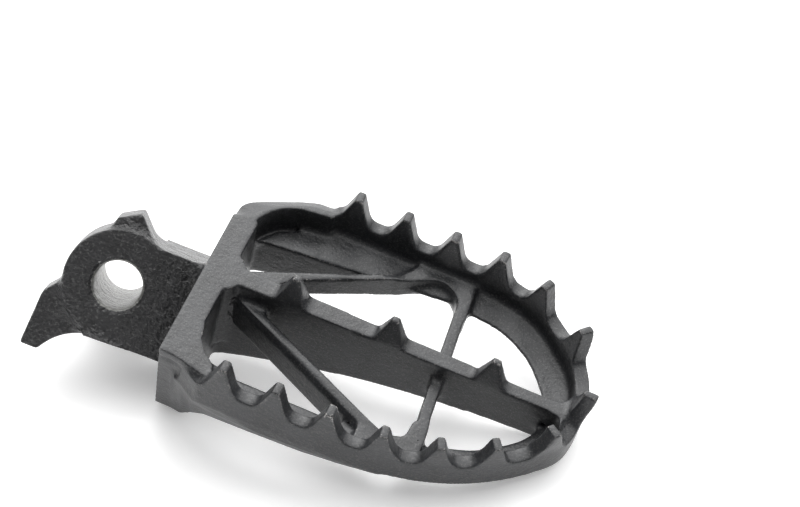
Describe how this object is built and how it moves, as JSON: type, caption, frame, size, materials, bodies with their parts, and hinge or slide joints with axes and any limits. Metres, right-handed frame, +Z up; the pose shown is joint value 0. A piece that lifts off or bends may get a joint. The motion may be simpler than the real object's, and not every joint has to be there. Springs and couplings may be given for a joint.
{
  "type": "motorcycle foot peg",
  "caption": "Wide toothed off-road foot peg, cast steel: open oval tread with centre rib and braces, deep end plate, tilted pivot lug with stop hook.",
  "frame": {"origin": "middle of the pivot bore, halfway along its length", "axes": "+X outboard along the centre rib, +Y to the rear of the motorcycle (left-hand peg), +Z up, square to the tread"},
  "size_m": [0.1163, 0.0556, 0.0408],
  "materials": {
    "tread_casting": "dark satin cast steel, worn at the teeth",
    "lug_casting": "coarse near-black cast steel"
  },
  "bodies": {
    "root": {"centre_rib": "tread_casting", "end_plate": "tread_casting", "front_brace": "tread_casting", "front_crossbar": "tread_casting", "front_gusset": "tread_casting", "front_rail": "tread_casting", "front_shoulder": "tread_casting", "front_skirt": "tread_casting", "lug_neck": "lug_casting", "nose_bow": "tread_casting", "pivot_barrel": "lug_casting", "pivot_boss": "lug_casting", "rear_brace": "tread_casting", "rear_crossbar": "tread_casting", "rear_gusset": "tread_casting", "rear_rail": "tread_casting", "rear_shelf": "tread_casting", "rear_shoulder": "tread_casting", "rear_skirt": "tread_casting", "rib_fork": "tread_casting", "rib_tooth_1": "tread_casting", "rib_tooth_2": "tread_casting", "rib_tooth_3": "tread_casting", "spring_spur": "lug_casting", "stop_hook": "lug_casting"}
  },
  "joints": []
}
